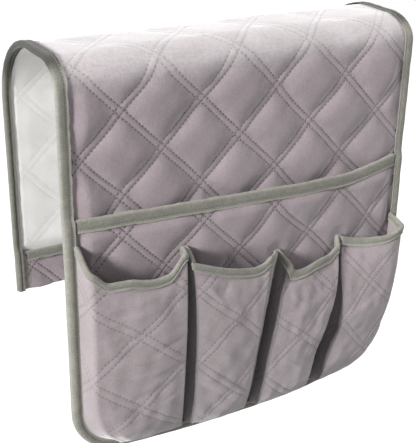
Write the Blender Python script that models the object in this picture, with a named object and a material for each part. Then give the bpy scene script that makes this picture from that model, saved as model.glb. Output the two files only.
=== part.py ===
# A quilted organizer that hangs over the arm of a sofa: a padded saddle on top, a short flap behind,
# and a long flap in front with one magazine pocket and four pleated pockets.
# X runs along the arm, the front flap faces -Y, and +Z is up. Lengths are in metres.
# The origin is the underside of the lining, in the middle of the saddle's flat strip.
# The cloth is cut flat as a pattern (u across, v along the cut, h off the lining) and then draped.
import math

import bmesh
import bpy
from mathutils import Vector

for old_object in list(bpy.data.objects):
    bpy.data.objects.remove(old_object, do_unlink=True)

# The panel and how it hangs
width = 0.330
flat_depth = 0.030
front_shoulder_depth = 0.026
front_shoulder_drop = 0.018
rear_shoulder_depth = 0.061
rear_shoulder_drop = 0.059
front_flap_length = 0.3285
rear_flap_length = 0.178
corner_radius = 0.045
hem_slope = math.radians(5.5)

# The cloth, its batting and the bias tape on its edges
cloth = 0.0007
batting_thin = 0.0007
tape = 0.0007
seat_gap = 0.0003
rim_gap = 0.0005
binding_width = 0.0105
edge_step = 0.004

# The diamond quilting: its diagonal, the height of a puff, the flat share of a puff, the share of a
# full diamond's reach that a clipped one needs to rise as high, where crossings lie on the panel and
# on the magazine pocket, and how near two points of the flat cloth are joined into one
diamond = 0.070
puff = 0.0022
plateau_share = 0.64
full_puff_share = 0.47
quilt_phase_u = 0.0235
quilt_below_fold = 0.0195
magazine_phase_u = 0.0218
magazine_quilt_drop = 0.0147
weld = 0.000002

# The magazine pocket
magazine_from_fold = 0.1035
magazine_thin = 0.0014
magazine_bow = 0.0070

# The strip that is turned up inside the rear flap
turn_up_height = 0.038
turn_up_thin = 0.0014

# The four pleated pockets: their three dividers from left to right, at the rim and at the hem. At the
# left end, the dividers and the right end the rims lie these drops below the magazine pocket's edge,
# and each rim sags in front.
pocket_names = ("pleated_pocket_1", "pleated_pocket_2", "pleated_pocket_3", "pleated_pocket_4")
divider_tops = (-0.065, 0.026, 0.094)
divider_bottoms = (-0.067, 0.003, 0.070)
rim_drops = (0.020, 0.038, 0.062, 0.063, 0.057)
rim_sags = (0.018, 0.011, 0.010, 0.003)
pocket_depth = 0.020
pocket_wall = 0.0014
pleat_gap = 0.0028
pleat_mouth = 0.0085
pocket_corner = 0.005
end_lean = 0.005

# How a pocket's front bulges: shares of its depth at shares of its height, from the rim down
row_shares = (0.0, 0.10, 0.35, 0.62, 0.80, 0.90, 0.97, 1.0)
bulge_shares = (1.0, 1.0, 1.07, 1.10, 1.0, 0.80, 0.42, 0.0)
front_column_shares = (0.2, 0.5, 0.8)
crown_share = 0.10
pleat_share = 0.5
corner_depth_share = 0.86

# Counts
front_bends = 4
rear_bends = 6
corner_steps = 6
pocket_corner_steps = 4
hem_steps = 8
bow_columns = 6
bow_rows = 3

# Heights off the lining's inner face, built up layer by layer
batting_low = cloth + seat_gap
face_low = batting_low + batting_thin + seat_gap
face_top = face_low + cloth
lining_edge_rise = tape + seat_gap
outer_tape_top = face_top + seat_gap + tape
magazine_low = face_top + seat_gap + tape + seat_gap
magazine_top = magazine_low + magazine_thin
pocketed_tape_top = magazine_top + seat_gap + tape
hinge_height = face_top + puff + seat_gap
layer_inset = tape + seat_gap
border = binding_width + seat_gap
diamond_reach = diamond / math.sqrt(8)
puff_run = diamond_reach * full_puff_share * (1 - plateau_share)
turn_up_clearance = turn_up_thin + seat_gap
turn_up_top = turn_up_height + layer_inset + seat_gap
turn_up_seat = lining_edge_rise - seat_gap - layer_inset
turned_tape_low = turn_up_seat - turn_up_thin - layer_inset
pocket_seat = magazine_top + 2 * puff + seat_gap

half_width = width / 2
front_inner_y = -(flat_depth / 2 + front_shoulder_depth)
rear_inner_y = flat_depth / 2 + rear_shoulder_depth
front_fold_z = -front_shoulder_drop
rear_fold_z = -rear_shoulder_drop
rear_end_z = rear_fold_z - rear_flap_length

colours = {
    "face": (0.31, 0.265, 0.28),
    "lining": (0.80, 0.80, 0.78),
    "batting": (0.86, 0.86, 0.84),
    "binding": (0.30, 0.30, 0.24),
    "pocket": (0.30, 0.255, 0.27),
}


# A route is the line in the YZ plane along which a pattern hangs. Each of its points carries the
# distance along the route and the mitred direction away from the cloth.
def make_route(points, start, end_directions=(None, None)):
    runs = [Vector(b) - Vector(a) for a, b in zip(points, points[1:])]
    outward = [Vector((run.y, -run.x)).normalized() for run in runs]
    route = []
    travelled = start
    for index, point in enumerate(points):
        before = outward[max(index - 1, 0)]
        after = outward[min(index, len(outward) - 1)]
        middle = (before + after).normalized()
        direction = middle / middle.dot(after)
        if index == 0 and end_directions[0]:
            direction = Vector(end_directions[0])
        if index == len(points) - 1 and end_directions[1]:
            direction = Vector(end_directions[1])
        route.append((travelled, Vector(point), direction))
        if index < len(runs):
            travelled += runs[index].length
    return route


def along(route, u, v, h):
    last = len(route) - 2
    index = 0
    while index < last and v > route[index + 1][0]:
        index += 1
    (start, point_a, way_a), (end, point_b, way_b) = route[index], route[index + 1]
    share = (v - start) / (end - start)
    spot = (point_a + way_a * h).lerp(point_b + way_b * h, share)
    return Vector((u, spot.x, spot.y))


def saddle_points():
    points = []
    for step in range(rear_bends + 1):
        angle = math.pi / 2 * (1 - step / rear_bends)
        y = flat_depth / 2 + rear_shoulder_depth * math.sin(angle)
        points.append((y, -rear_shoulder_drop * (1 - math.cos(angle))))
    for step in range(front_bends + 1):
        angle = math.pi / 2 * step / front_bends
        y = -flat_depth / 2 - front_shoulder_depth * math.sin(angle)
        points.append((y, -front_shoulder_drop * (1 - math.cos(angle))))
    return points


# The pattern starts at v = 0 on the rear fold line
saddle_route = make_route(saddle_points(), 0, ((1, 0), (-1, 0)))
front_fold = saddle_route[-1][0]
front_end = front_fold + front_flap_length
rear_end = -rear_flap_length
front_end_z = front_fold_z - front_flap_length
front_route = make_route([(front_inner_y, front_fold_z), (front_inner_y, front_end_z)], front_fold)
rear_route = make_route([(rear_inner_y, rear_end_z), (rear_inner_y, rear_fold_z)], rear_end)
magazine_edge = front_fold + magazine_from_fold
quilt_phase_v = front_fold + quilt_below_fold


# The bound edge of the cut cloth: down its left side from one place, round the hem, and up again
def bound_path(start):
    arc_centre_u = half_width - corner_radius
    hem_radius = (arc_centre_u + corner_radius * math.sin(hem_slope)) / math.sin(hem_slope)
    hem_centre_v = front_end - hem_radius
    arc_end_v = hem_centre_v + hem_radius * math.cos(hem_slope)
    arc_centre_v = arc_end_v - corner_radius * math.cos(hem_slope)
    left = [(-half_width, start)]
    for step in range(corner_steps + 1):
        angle = (math.pi / 2 - hem_slope) * step / corner_steps
        u = -arc_centre_u - corner_radius * math.cos(angle)
        left.append((u, arc_centre_v + corner_radius * math.sin(angle)))
    hem = []
    for step in range(1, hem_steps):
        angle = hem_slope * (2 * step / hem_steps - 1)
        u = hem_radius * math.sin(angle)
        hem.append((u, hem_centre_v + hem_radius * math.cos(angle)))
    right = [(-u, v) for u, v in reversed(left)]
    return left + hem + right


# The mitred directions that lead off a path at its points, to the left of the way that it runs
def mitres_of(path):
    points = [Vector(point) for point in path]
    runs = [(b - a).normalized() for a, b in zip(points, points[1:])]
    sides = [Vector((run.y, -run.x)) for run in runs]
    mitres = []
    for index in range(len(points)):
        before = sides[max(index - 1, 0)]
        after = sides[min(index, len(sides) - 1)]
        middle = (before + after).normalized()
        mitres.append(middle / middle.dot(after))
    return mitres


def inset_path(path, distance):
    return [tuple(Vector(point) + way * distance) for point, way in zip(path, mitres_of(path))]


# A flat sheet from nested closed loops: the first is its outline, and the last bounds its field
def sheet_from_loops(loops, heights):
    bm = bmesh.new()
    field = bm.faces.layers.int.new("field")
    rings = [[bm.verts.new((u, v, h)) for u, v in loop] for loop, h in zip(loops, heights)]
    for outer, inner in zip(rings, rings[1:]):
        for index in range(len(outer)):
            after = (index + 1) % len(outer)
            bm.faces.new((outer[index], outer[after], inner[after], inner[index]))
    middle = bm.faces.new(rings[-1])
    middle[field] = 1
    bmesh.ops.recalc_face_normals(bm, faces=bm.faces[:])
    bm.normal_update()
    if middle.normal.z < 0:
        bmesh.ops.reverse_faces(bm, faces=bm.faces[:])
    return bm


def cut_at(bm, faces, point, normal):
    edges = list({edge for face in faces for edge in face.edges})
    verts = list({vert for face in faces for vert in face.verts})
    geometry = verts + edges + list(faces)
    bmesh.ops.bisect_plane(bm, geom=geometry, plane_co=point, plane_no=normal, dist=weld)


# The shortest way from a cell's centre to its edges
def reach_of(cell, centre):
    best = diamond
    for edge in cell.edges:
        start, end = (vert.co for vert in edge.verts)
        best = min(best, (centre - start).cross(end - start).length / (end - start).length)
    return best


# Sews the diamonds into the field of a sheet and raises a puff in each. A clipped cell rises less,
# so that no puff is steeper than its full height over puff_run.
def quilt(bm, phase_u, phase_v):
    field = bm.faces.layers.int["field"]
    lines = math.ceil((width + front_end) / diamond)
    for side in (1, -1):
        for line in range(-lines, lines + 1):
            faces = [face for face in bm.faces if face[field]]
            cut_at(bm, faces, (phase_u + line * diamond, phase_v, 0), (1, side, 0))
    for cell in [face for face in bm.faces if face[field]]:
        centre = cell.calc_center_median_weighted()
        rise = puff * min(reach_of(cell, centre) / (diamond_reach * full_puff_share), 1)
        plateau = bmesh.ops.extrude_discrete_faces(bm, faces=[cell])["faces"][0]
        for vert in plateau.verts:
            vert.co = centre + (vert.co - centre) * plateau_share
            vert.co.z += rise


# Closes an open sheet into a solid: the sheet lies on top, and a copy of it lies below
def thicken(bm, thickness):
    copied = bmesh.ops.duplicate(bm, geom=bm.verts[:] + bm.edges[:] + bm.faces[:])["geom"]
    low_faces = [item for item in copied if isinstance(item, bmesh.types.BMFace)]
    low_verts = [item for item in copied if isinstance(item, bmesh.types.BMVert)]
    bmesh.ops.translate(bm, verts=low_verts, vec=(0, 0, -thickness))
    bmesh.ops.reverse_faces(bm, faces=low_faces)
    bmesh.ops.bridge_loops(bm, edges=[edge for edge in bm.edges if edge.is_boundary])


# Closes an open sheet into a solid with one flat face below
def thicken_flat(bm, thickness):
    rims = [edge for edge in bm.edges if edge.is_boundary]
    walls = bmesh.ops.extrude_edge_only(bm, edges=rims)["geom"]
    low_verts = [item for item in walls if isinstance(item, bmesh.types.BMVert)]
    bmesh.ops.translate(bm, verts=low_verts, vec=(0, 0, -thickness))
    bmesh.ops.edgeloop_fill(bm, edges=[edge for edge in bm.edges if edge.is_boundary])


# Cuts away what lies beyond a plane, and closes the piece again
def trim(bm, point, normal):
    geometry = bm.verts[:] + bm.edges[:] + bm.faces[:]
    bmesh.ops.bisect_plane(
        bm, geom=geometry, plane_co=point, plane_no=normal, dist=weld, clear_outer=True
    )
    open_edges = [edge for edge in bm.edges if edge.is_boundary]
    if open_edges:
        bmesh.ops.edgeloop_fill(bm, edges=open_edges)


def trim_to(bm, loop):
    for (u_a, v_a), (u_b, v_b) in zip(loop, loop[1:] + loop[:1]):
        trim(bm, (u_a, v_a, 0), (v_a - v_b, u_b - u_a, 0))


def bend_at(bm, stations):
    for station in stations:
        cut_at(bm, bm.faces[:], (0, station, 0), (0, 1, 0))


def drape(bm, route, base):
    for vert in bm.verts:
        u, v, h = vert.co
        vert.co = along(route, u, v, base + h)


def plain_material(name, colour):
    material = bpy.data.materials.new(name)
    material.use_nodes = True
    shader = material.node_tree.nodes["Principled BSDF"]
    shader.inputs["Base Color"].default_value = (*colour, 1)
    shader.inputs["Roughness"].default_value = 0.9
    shader.inputs["Metallic"].default_value = 0
    return material


def add_piece(name, bm, colour, parent):
    bmesh.ops.recalc_face_normals(bm, faces=bm.faces[:])
    if bm.calc_volume(signed=True) < 0:
        bmesh.ops.reverse_faces(bm, faces=bm.faces[:])
    if parent:
        bmesh.ops.translate(bm, verts=bm.verts[:], vec=-parent.location)
    mesh = bpy.data.meshes.new(name)
    bm.to_mesh(mesh)
    bm.free()
    mesh.materials.append(plain_material(name, colours[colour]))
    piece = bpy.data.objects.new(name, mesh)
    piece.parent = parent
    bpy.context.collection.objects.link(piece)


def add_axis(name, y, z):
    axis = bpy.data.objects.new(name, None)
    axis.location = (0, y, z)
    bpy.context.collection.objects.link(axis)
    return axis


# The outline of a tape folded over an edge: each corner is a distance into the cloth and a height
def tape_corners(low, high):
    return (
        (0, low), (0, high), (binding_width, high), (binding_width, high - tape),
        (tape, high - tape), (tape, low + tape), (binding_width, low + tape), (binding_width, low),
    )


# Joins the tape's outline, placed at each section, into one closed solid
def join_sections(bm, sections):
    for before, after in zip(sections, sections[1:]):
        for index in range(len(before)):
            following = (index + 1) % len(before)
            bm.faces.new((before[index], before[following], after[following], after[index]))
    bm.faces.new(sections[0])
    bm.faces.new(list(reversed(sections[-1])))


def tape_over(spots, low, high):
    bm = bmesh.new()
    sections = [[bm.verts.new(spot(*corner)) for corner in tape_corners(low, high)] for spot in spots]
    join_sections(bm, sections)
    return bm


# A tape along a path in the pattern. Each place has the heights of the tape's two outer faces.
def bind_path(route, path, levels):
    bm = bmesh.new()
    sections = []
    for (u, v), way, (low, high) in zip(path, mitres_of(path), levels):
        section = []
        for inward, h in tape_corners(low, high):
            section.append(bm.verts.new(along(route, u + way.x * inward, v + way.y * inward, h)))
        sections.append(section)
    join_sections(bm, sections)
    return bm


# How far the magazine pocket bows out: most in the middle of its open edge, and least at the hem
def bow_at(u, v):
    across = min(abs(u) / (half_width - border), 1)
    down = max(0, min((v - magazine_edge) / (front_end - border - magazine_edge), 1))
    return magazine_bow * (1 - across ** 2) * (1 - down ** 2)


# How far the magazine pocket stands off its seams. Inside them it lifts as fast as a puff can rise.
def stand_off(u, v):
    return puff * min(inside_border(u, v) / puff_run, 1) + bow_at(u, v)


# The distance from the inner line of the binding, or none on or outside it
def inside_border(u, v):
    path = inset_path(bound_path(magazine_edge - diamond), border)
    best = half_width
    for start, end in zip(path, path[1:]):
        a = Vector(start)
        run = Vector(end) - a
        offset = Vector((u, v)) - a
        if run.y * offset.x - run.x * offset.y <= 0:
            return 0
        share = max(0, min(1, offset.dot(run) / run.length_squared))
        best = min(best, (offset - run * share).length)
    return best


def front_point(u, v, h):
    return Vector((u, front_inner_y - h, front_fold_z - (v - front_fold)))


front_axis = add_axis("front_flap_axis", front_inner_y - hinge_height, front_fold_z)
rear_axis = add_axis("rear_flap_axis", rear_inner_y + hinge_height, rear_fold_z)
bends = [station for station, point, way in saddle_route[1:-1]]
half_gap = seat_gap / 2
zones = (
    ("rear", rear_route, (rear_end, -half_gap), [], rear_axis),
    ("saddle", saddle_route, (half_gap, front_fold - half_gap), bends, None),
    ("front", front_route, (front_fold + half_gap, front_end), [], front_axis),
)


# One layer of the panel, cut at the two fold lines and hung as three pieces
def add_layer(layer, sheet, base, colour):
    for zone, route, (low, high), stations, parent in zones:
        piece = sheet.copy()
        trim(piece, (0, low, 0), (0, -1, 0))
        trim(piece, (0, high, 0), (0, 1, 0))
        bend_at(piece, stations)
        drape(piece, route, base)
        add_piece(zone + "_" + layer, piece, colour, parent)
    sheet.free()


def panel_loop(rear_inset, inset):
    return inset_path(bound_path(rear_end + rear_inset), inset)


def add_panel():
    outline = panel_loop(turn_up_clearance, layer_inset)
    bound_line = panel_loop(turn_up_clearance + border, border)

    face = sheet_from_loops([outline, bound_line], [0, 0])
    quilt(face, quilt_phase_u, quilt_phase_v)
    thicken(face, cloth)
    add_layer("face_cloth", face, face_top, "face")

    batting = sheet_from_loops([bound_line], [0])
    quilt(batting, quilt_phase_u, quilt_phase_v)
    thicken_flat(batting, batting_thin)
    trim_to(batting, panel_loop(turn_up_top + edge_step + seat_gap, border + edge_step + seat_gap))
    add_layer("batting", batting, batting_low + batting_thin, "batting")

    lining_loops = [
        outline,
        panel_loop(turn_up_top, border),
        panel_loop(turn_up_top + edge_step, border + edge_step),
    ]
    lining = sheet_from_loops(lining_loops, [lining_edge_rise, lining_edge_rise, 0])
    thicken(lining, cloth)
    add_layer("lining", lining, cloth, "lining")


def add_side_bindings():
    for side, name in ((-1, "left"), (1, "right")):
        stops = [half_gap, *bends, front_fold - half_gap]
        levels = [(0, outer_tape_top)] * len(stops)
        add_binding("saddle_" + name + "_binding", saddle_route, side, stops, levels, None)
        turned = (turned_tape_low, outer_tape_top)
        stops = [rear_end, rear_end + turn_up_top, rear_end + turn_up_top + edge_step, -half_gap]
        levels = [turned, turned, (0, outer_tape_top), (0, outer_tape_top)]
        add_binding("rear_" + name + "_binding", rear_route, side, stops, levels, rear_axis)


def add_binding(name, route, side, stops, levels, parent):
    path = [(side * half_width, v) for v in stops]
    if side > 0:
        path.reverse()
        levels = levels[::-1]
    add_piece(name, bind_path(route, path, levels), "binding", parent)


# One tape runs down the front flap's left side, round the hem and up its right side. It is
# thicker where it also holds the magazine pocket.
def add_front_binding():
    path = bound_path(front_fold + half_gap)
    step_up = magazine_edge - edge_step
    left = [(-half_width, step_up), (-half_width, magazine_edge)]
    right = [(half_width, magazine_edge), (half_width, step_up)]
    path = [path[0], *left, *path[1:-1], *right, path[-1]]
    plain = [(0, outer_tape_top)] * 2
    pocketed = [(0, pocketed_tape_top)] * (len(path) - 2 * len(plain))
    tape_bm = bind_path(front_route, path, plain + pocketed + plain)
    add_piece("front_binding", tape_bm, "binding", front_axis)


# The panel's end is folded up inside the rear flap, its face cloth towards the arm
def add_turn_up():
    outer_y = rear_inner_y + turn_up_seat
    low_z = rear_end_z + turn_up_thin
    route_points = [
        (outer_y, rear_end_z + turn_up_height),
        (outer_y, low_z),
        (rear_inner_y + face_top, low_z),
    ]
    route = make_route(route_points, 0)
    bend = route[1][0]
    end = route[2][0]

    def loop_at(inset, top_inset, end_inset):
        u = half_width - inset
        return [(-u, top_inset), (-u, end - end_inset), (u, end - end_inset), (u, top_inset)]

    loops = [loop_at(layer_inset, 0, 0), loop_at(border, border, end - bend + turn_up_thin + tape)]
    strip = sheet_from_loops(loops, [0, 0])
    quilt(strip, border - half_width, bend / 2)
    thicken(strip, turn_up_thin)
    bend_at(strip, [bend])
    drape(strip, route, turn_up_thin)
    add_piece("rear_turn_up", strip, "face", rear_axis)

    def spot_at(u):
        return lambda down, h: along(route, u, down - layer_inset, h)

    top = turn_up_thin + seat_gap + tape
    ends = (half_width - border, border - half_width)
    sections = (spot_at(u) for u in ends)
    add_piece("rear_turn_up_binding", tape_over(sections, -layer_inset, top), "binding", rear_axis)


# A wide quilted panel sewn over the lower part of the front flap, open along its top edge
def add_magazine_pocket():
    loops = [
        inset_path(bound_path(magazine_edge), layer_inset),
        inset_path(bound_path(magazine_edge + binding_width), border),
        inset_path(bound_path(magazine_edge + border), border + puff_run),
    ]
    panel = sheet_from_loops(loops, [0, 0, 0])
    quilt(panel, magazine_phase_u, magazine_edge + magazine_quilt_drop)
    thicken(panel, magazine_thin)
    reach = half_width - border
    columns = [reach * (2 * column / bow_columns - 1) for column in range(1, bow_columns)]
    columns = sorted([*columns, reach - puff_run, puff_run - reach])
    for u in (-reach, *columns, reach):
        cut_at(panel, panel.faces[:], (u, 0, 0), (1, 0, 0))
    drop = front_end - border - magazine_edge
    bend_at(panel, [magazine_edge + drop * row / bow_rows for row in range(1, bow_rows)])
    for vert in panel.verts:
        u, v, h = vert.co
        vert.co = front_point(u, v, magazine_top + h + stand_off(u, v))
    add_piece("magazine_pocket", panel, "face", front_axis)

    def spot_at(u):
        lift = stand_off(u, magazine_edge)
        return lambda down, h: front_point(u, magazine_edge - layer_inset + down, h + lift)

    sections = (spot_at(u) for u in (seat_gap - reach, *columns, reach - seat_gap))
    tape_bm = tape_over(sections, magazine_low - layer_inset, pocketed_tape_top)
    add_piece("magazine_pocket_binding", tape_bm, "binding", front_axis)


# A pleated pocket's columns, from its left seam round the front to its right seam. Each holds its
# shares of the pleat's mouth, of the corner's width, of the depth and of the way across the front.
def pocket_columns():
    wall = ((0, 0, 0), (pleat_share, 0, pleat_share), (1, 0, corner_depth_share), (1, 1, 1))
    left = [(*column, 0) for column in wall]
    right = [(*column, 1) for column in reversed(wall)]
    middle = []
    for share in front_column_shares:
        middle.append((1, 1, 1 + crown_share * (1 - (2 * share - 1) ** 2), share))
    return left + middle + right


# The line that holds the pockets: inside the magazine pocket's seams, where it stands at full height
pocket_line = inset_path(bound_path(magazine_edge), border + puff_run)
end_line = pocket_line[:pocket_corner_steps + 2]
hem_line = pocket_line[pocket_corner_steps + 1:-pocket_corner_steps - 1]


# The value on a line of (place, value) pairs at one place
def value_at(pairs, place):
    for (before, value_a), (after, value_b) in zip(pairs, pairs[1:]):
        if before <= place <= after:
            return value_a + (value_b - value_a) * (place - before) / (after - before)
    return pairs[0][1] if place < pairs[0][0] else pairs[-1][1]


# The place where a pocket's side is sewn down, at a share of the way from its rim to its bottom
def seam_at(number, share):
    rim = magazine_edge + rim_drops[number]
    if number in (0, len(pocket_names)):
        v = rim + (end_line[-1][1] - rim) * share
        u = value_at([(place, across) for across, place in end_line], v)
        return (u if number == 0 else -u), v
    top = divider_tops[number - 1]
    bottom = divider_bottoms[number - 1]
    return top + (bottom - top) * share, rim + (value_at(hem_line, bottom) - rim) * share


# The point of one column across a pocket, at a share of the way down its side seams
def pocket_place(index, column, share, inset):
    mouth, corner, depth_share, across = column
    ends = []
    for number, way in ((index, 1), (index + 1, -1)):
        u, v = seam_at(number, share)
        offset = pleat_gap / 2 + mouth * (pleat_mouth - pleat_gap) / 2
        if number in (0, len(pocket_names)):
            offset = -mouth * end_lean * (1 - share)
        if across == number - index:
            offset += pocket_corner * corner
        ends.append(Vector((u + way * (offset + inset), v)))
    return ends[0].lerp(ends[1], across)


def pocket_point(index, column, share, bulge, inset):
    mouth, corner, depth_share, across = column
    bottom = pocket_place(index, column, 1, inset)
    hem_drop = value_at(hem_line, bottom.x) - inset - bottom.y
    sag = rim_sags[index] * min(depth_share, 1)
    v = pocket_place(index, column, share, inset).y + sag * (1 - share) + hem_drop * share
    shaped = pocket_place(index, column, max(share, row_shares[1]), inset)
    h = pocket_seat + bow_at(*shaped) + depth_share * bulge * (pocket_depth - inset)
    return front_point(shaped.x, v, h)


# The points round the edge of a grid of rows, in order
def grid_edge(rows):
    right = [row[-1] for row in rows[1:]]
    bottom = rows[-1][-2::-1]
    left = [row[0] for row in rows[-2:0:-1]]
    return rows[0] + right + bottom + left


# The mitred directions that lead from a row of a pocket's points to the inside of the pocket
def inward_from(points):
    return [Vector((-way.x, -way.y, 0)) for way in mitres_of([(point.x, point.y) for point in points])]


# The inner skin's points beside the rim, one wall inside the outer skin's
def inside_of(points):
    inner = [point + way * pocket_wall for point, way in zip(points, inward_from(points))]
    inner[0].y = points[0].y
    inner[-1].y = points[-1].y
    return inner


def add_pocket(index, name):
    bm = bmesh.new()
    skins = ([], [])
    for share, bulge in zip(row_shares, bulge_shares):
        outer = [pocket_point(index, column, share, bulge, 0) for column in pocket_columns()]
        inner = [pocket_point(index, column, share, bulge, pocket_wall) for column in pocket_columns()]
        if share <= row_shares[1]:
            inner = inside_of(outer)
        for rows, points in zip(skins, (outer, inner)):
            rows.append([bm.verts.new(point) for point in points])
    for rows in skins:
        for upper, lower in zip(rows, rows[1:]):
            for place in range(len(upper) - 1):
                bm.faces.new((upper[place], upper[place + 1], lower[place + 1], lower[place]))
    outer, inner = (grid_edge(rows) for rows in skins)
    for place in range(len(outer)):
        after = (place + 1) % len(outer)
        bm.faces.new((outer[place], outer[after], inner[after], inner[place]))
    add_piece(name, bm, "pocket", front_axis)
    add_rim(index, name)


# The tape over a pocket's rim follows the plan of the outer skin's top row
def add_rim(index, name):
    points = [pocket_point(index, column, 0, 1, 0) for column in pocket_columns()]
    points[0] += (points[1] - points[0]).normalized() * layer_inset
    points[-1] += (points[-2] - points[-1]).normalized() * layer_inset
    bm = bmesh.new()
    sections = []
    for point, way in zip(points, inward_from(points)):
        section = []
        for down, across in tape_corners(-layer_inset, pocket_wall + layer_inset):
            section.append(bm.verts.new(point + way * across + Vector((0, 0, rim_gap + tape - down))))
        sections.append(section)
    join_sections(bm, sections)
    add_piece(name + "_binding", bm, "binding", front_axis)


add_panel()
add_side_bindings()
add_front_binding()
add_turn_up()
add_magazine_pocket()
for pocket_index, pocket_name in enumerate(pocket_names):
    add_pocket(pocket_index, pocket_name)
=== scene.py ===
import math

import bmesh
import bpy
import numpy as np
from mathutils import Matrix, Vector


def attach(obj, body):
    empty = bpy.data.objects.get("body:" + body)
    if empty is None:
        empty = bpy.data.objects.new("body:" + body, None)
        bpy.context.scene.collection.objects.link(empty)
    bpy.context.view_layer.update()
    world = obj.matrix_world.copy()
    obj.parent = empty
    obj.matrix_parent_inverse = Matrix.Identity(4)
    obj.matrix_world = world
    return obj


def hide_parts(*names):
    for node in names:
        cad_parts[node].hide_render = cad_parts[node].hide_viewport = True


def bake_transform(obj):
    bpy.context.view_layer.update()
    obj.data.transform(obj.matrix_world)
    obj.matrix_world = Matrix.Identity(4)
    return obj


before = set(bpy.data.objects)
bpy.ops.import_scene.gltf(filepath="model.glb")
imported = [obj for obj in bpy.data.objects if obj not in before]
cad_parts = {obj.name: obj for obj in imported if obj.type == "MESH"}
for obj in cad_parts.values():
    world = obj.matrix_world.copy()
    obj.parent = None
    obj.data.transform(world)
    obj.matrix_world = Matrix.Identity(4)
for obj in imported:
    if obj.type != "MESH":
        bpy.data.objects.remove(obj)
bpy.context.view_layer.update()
bodies = {"top": "saddle", "front": "front_flap", "rear": "rear_flap"}
millimetres = 1000.0
creaseAngle = math.radians(50)

# How the cut cloth hangs. Lengths are in metres. u runs across the cloth, v along it from the rear
# fold, and h is the height off the lining's inner face.
hanging = {
    "halfWidth": 0.165,
    "flat": 0.030,
    "frontShoulder": (0.026, 0.018),
    "rearShoulder": (0.061, 0.059),
    "frontLength": 0.3285,
    "rearLength": 0.178,
    "cornerRadius": 0.045,
    "hemSlope": math.radians(5.5),
    "shoulderSteps": 90,
    "cornerSteps": 36,
    "hemSteps": 120,
    "meetShare": 0.72,  # where the front and rear halves meet, on the way to the front fold
    "frontSlack": (-0.012, 0.012),  # from the front fold
    "rearSlack": (-0.020, 0.010),
    "turnUp": 0.038,
    "turnUpFaceY": 0.0738,
    "turnSteps": 25,
    "curl": 0.0068,
    "curlAcross": (0.045, 0.150),
    "curlDown": (-0.120, -0.015),  # from the front flap's end
    "magazineBelowFold": 0.1035,
}

quilting = {
    "diamond": 0.070,
    "pair": 0.0056,
    "frontPuff": 0.0041,
    "topPuff": 0.0006,
    "rearPuff": 0.0024,
    "run": 0.019,
    "steep": 2.7,
    "ridge": 0.0003,
    "ridgeEnds": (-0.0005, 0.0030),
    "topDetail": 0.45,
    "pucker": 0.00018,
    "puckerSize": 0.0075,
    "puckerReach": 0.0045,
    "puckerShift": 3.7,
    "waver": 0.0006,
    "waverSize": 0.060,
    "waverWaves": 6,
    "waverSeeds": (5, 6),
    "belowFold": 0.0207,
    "phaseU": 0.0248,
}
lineSpacing = quilting["diamond"] / math.sqrt(2)


def ellipseQuarter(depth, drop, start, angles):
    return start + depth * np.sin(angles), -drop * (1 - np.cos(angles))


# A route is where the cloth's line lies in the YZ plane at each v, and which way is out
def panelRoute(height=0.0):
    h = hanging
    rear = np.linspace(math.pi / 2, 0, h["shoulderSteps"])
    front = np.linspace(0, math.pi / 2, h["shoulderSteps"])
    rearY, rearZ = ellipseQuarter(*h["rearShoulder"], h["flat"] / 2, rear)
    frontY, frontZ = ellipseQuarter(*h["frontShoulder"], h["flat"] / 2, front)
    y = np.concatenate([rearY, -frontY])
    z = np.concatenate([rearZ, frontZ])
    v = np.concatenate([[0], np.cumsum(np.hypot(np.diff(y), np.diff(z)))])
    tangentY, tangentZ = np.gradient(y, v), np.gradient(z, v)
    size = np.hypot(tangentY, tangentZ)
    outY, outZ = tangentZ / size, -tangentY / size
    y = np.concatenate([[y[0]], y, [y[-1]]])
    z = np.concatenate([[z[0] - h["rearLength"]], z, [z[-1] - h["frontLength"]]])
    v = np.concatenate([[-h["rearLength"]], v, [v[-1] + h["frontLength"]]])
    outY = np.concatenate([[1], outY, [-1]])
    outZ = np.concatenate([[0], outZ, [0]])
    return {"v": v, "y": y + outY * height, "z": z + outZ * height, "outY": outY, "outZ": outZ}


# The face cloth goes on round the rear flap's lower edge and up inside it
def faceRoute(height):
    route = panelRoute(height)
    inner = hanging["turnUpFaceY"]
    radius = (route["y"][0] - inner) / 2
    angles = np.linspace(-math.pi, 0, hanging["turnSteps"])
    y = inner + radius + radius * np.cos(angles)
    z = route["z"][0] + radius + radius * np.sin(angles)
    v = route["v"][0] + radius * (1 + angles)
    top = hanging["turnUp"] - radius
    y = np.concatenate([[inner], y, route["y"][1:]])
    z = np.concatenate([[z[0] + top], z, route["z"][1:]])
    v = np.concatenate([[v[0] - top], v, route["v"][1:]])
    outY = np.concatenate([[-1], np.cos(angles), route["outY"][1:]])
    outZ = np.concatenate([[0], np.sin(angles), route["outZ"][1:]])
    return {"v": v, "y": y, "z": z, "outY": outY, "outZ": outZ}


def smooth(value, low, high):
    share = np.clip((value - low) / (high - low), 0, 1)
    return share * share * (3 - 2 * share)


# The front flap's lower right corner hangs a little back
def curledBack(u, v):
    across, down = smooth(u, *hanging["curlAcross"]), smooth(v - frontEnd, *hanging["curlDown"])
    return hanging["curl"] * across * down


def drape(route, u, v, h):
    h = h - curledBack(u, v)
    y = np.interp(v, route["v"], route["y"]) + np.interp(v, route["v"], route["outY"]) * h
    z = np.interp(v, route["v"], route["z"]) + np.interp(v, route["v"], route["outZ"]) * h
    return np.stack([u, y, z], axis=-1)


panel = panelRoute()
frontFold = panel["v"][-2]
frontEnd = panel["v"][-1]
rearEnd = panel["v"][0]
middle = frontFold * hanging["meetShare"]
magazineEdge = frontFold + hanging["magazineBelowFold"]
phaseV = frontFold + quilting["belowFold"]

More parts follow.
